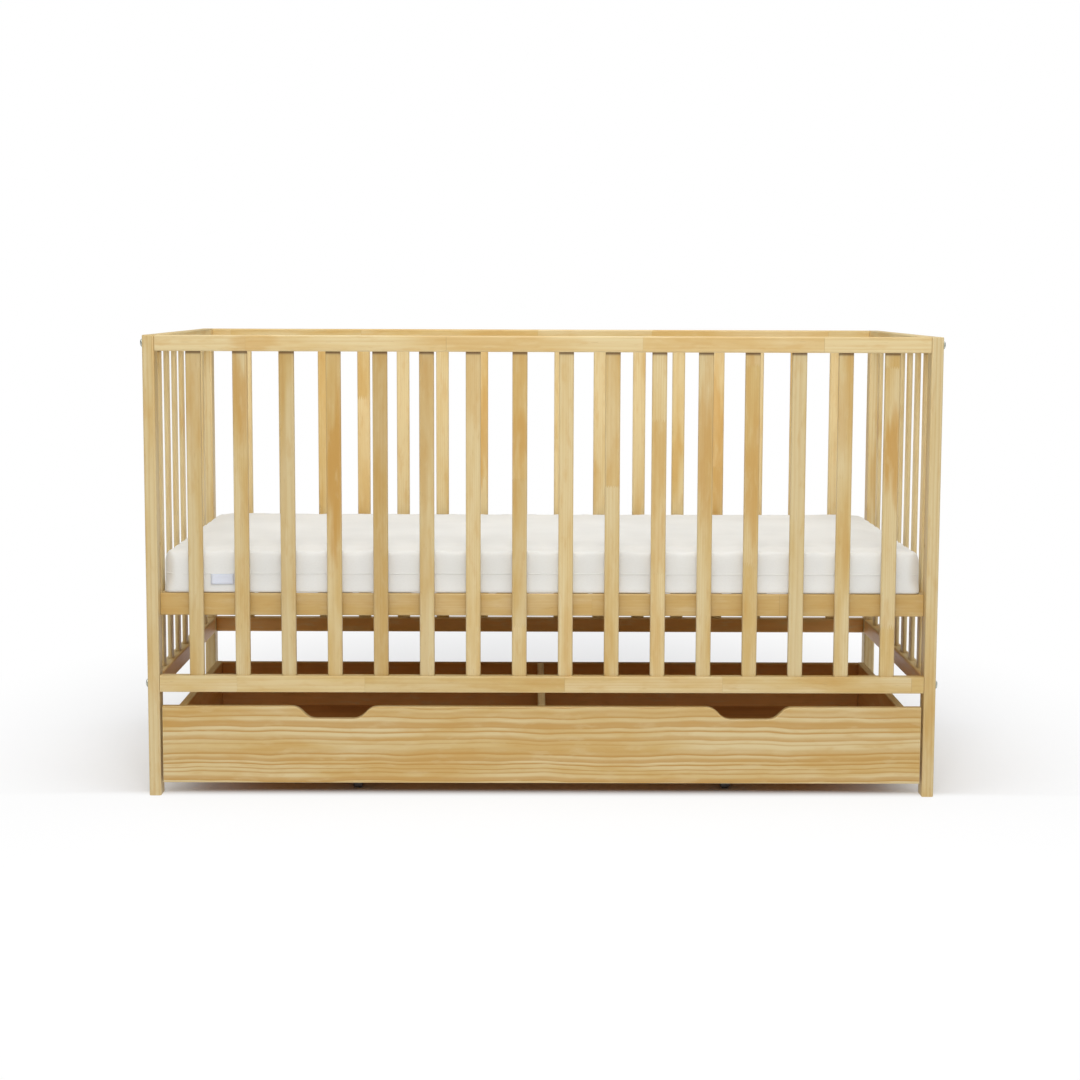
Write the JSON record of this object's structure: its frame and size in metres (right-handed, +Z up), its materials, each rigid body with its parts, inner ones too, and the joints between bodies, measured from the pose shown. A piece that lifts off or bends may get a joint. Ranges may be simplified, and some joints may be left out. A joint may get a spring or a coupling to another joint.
{
  "type": "baby crib",
  "caption": "Slatted pine cot with fixed sides, a slatted mattress base, a foam mattress and a long under-bed drawer that rolls out on castors.",
  "frame": {"origin": "on the floor under the middle of the cot", "axes": "+X along the length of the cot, +Z up; the drawer pulls out towards -Y, the front"},
  "size_m": [1.4576, 0.746, 0.848],
  "materials": {
    "pine": "clear satin lacquered pine with softly rounded edges",
    "ply": "thin plywood, warm red-brown face veneer, satin",
    "ticking": "off-white woven mattress cover, matt",
    "webbing": "undyed woven cotton tape, matt",
    "steel": "zinc-plated steel, slightly yellowed satin",
    "wheel_plastic": "moulded grey plastic, fine matt texture"
  },
  "bodies": {
    "frame": {"back_bottom_rail_with_slats": "pine", "back_left_post": "pine", "back_right_post": "pine", "back_top_rail": "pine", "base_back_rail": "pine", "base_cross_slats": "pine", "base_front_rail": "pine", "base_left_rail": "pine", "base_right_rail": "pine", "bolt_back_left_base_rail": "steel", "bolt_back_left_bottom_rail": "steel", "bolt_back_left_top_rail": "steel", "bolt_back_right_base_rail": "steel", "bolt_back_right_bottom_rail": "steel", "bolt_back_right_top_rail": "steel", "bolt_front_left_base_rail": "steel", "bolt_front_left_bottom_rail": "steel", "bolt_front_left_top_rail": "steel", "bolt_front_right_base_rail": "steel", "bolt_front_right_bottom_rail": "steel", "bolt_front_right_top_rail": "steel", "front_bottom_rail": "pine", "front_left_post": "pine", "front_right_post": "pine", "front_slat_01": "pine", "front_slat_02": "pine", "front_slat_03": "pine", "front_slat_04": "pine", "front_slat_05": "pine", "front_slat_06": "pine", "front_slat_07": "pine", "front_slat_08": "pine", "front_slat_09": "pine", "front_slat_10": "pine", "front_slat_11": "pine", "front_slat_12": "pine", "front_slat_13": "pine", "front_slat_14": "pine", "front_slat_15": "pine", "front_slat_16": "pine", "front_top_rail": "pine", "left_end_bottom_rail_with_slats": "pine", "left_end_top_rail": "pine", "right_end_bottom_rail_with_slats": "pine", "right_end_top_rail": "pine"},
    "mattress": {"mattress": "ticking"},
    "drawer": {"castor_bracket_back_left": "steel", "castor_bracket_back_right": "steel", "castor_bracket_front_left": "steel", "castor_bracket_front_right": "steel", "drawer_back": "pine", "drawer_divider": "pine", "drawer_floor": "ply", "drawer_front": "pine", "drawer_left_side": "pine", "drawer_right_side": "pine"},
    "castor_front_left": {"castor_wheel_front_left": "wheel_plastic"},
    "castor_front_right": {"castor_wheel_front_right": "wheel_plastic"},
    "castor_back_left": {"castor_wheel_back_left": "wheel_plastic"},
    "castor_back_right": {"castor_wheel_back_right": "wheel_plastic"}
  },
  "joints": [
    {"name": "drawer_roll", "type": "slide", "parent": "frame", "child": "drawer", "axis": [0, -1, 0], "range_m": [0, 0.56]},
    {"name": "mattress_lift", "type": "slide", "parent": "frame", "child": "mattress", "axis": [0, 0, 1], "range_m": [0, 0.5]},
    {"name": "castor_spin_front_left", "type": "hinge", "parent": "drawer", "child": "castor_front_left", "pos_m": [-0.345, -0.2967, 0.022], "axis": [1, 0, 0], "continuous": true},
    {"name": "castor_spin_front_right", "type": "hinge", "parent": "drawer", "child": "castor_front_right", "pos_m": [0.345, -0.2967, 0.022], "axis": [1, 0, 0], "continuous": true},
    {"name": "castor_spin_back_left", "type": "hinge", "parent": "drawer", "child": "castor_back_left", "pos_m": [-0.345, 0.082, 0.022], "axis": [1, 0, 0], "continuous": true},
    {"name": "castor_spin_back_right", "type": "hinge", "parent": "drawer", "child": "castor_back_right", "pos_m": [0.345, 0.082, 0.022], "axis": [1, 0, 0], "continuous": true}
  ],
  "couplings": [
    {"joint": "castor_spin_front_left", "follows": "drawer_roll", "rad_per_m": 45.455},
    {"joint": "castor_spin_front_right", "follows": "drawer_roll", "rad_per_m": 45.455},
    {"joint": "castor_spin_back_left", "follows": "drawer_roll", "rad_per_m": 45.455},
    {"joint": "castor_spin_back_right", "follows": "drawer_roll", "rad_per_m": 45.455}
  ]
}
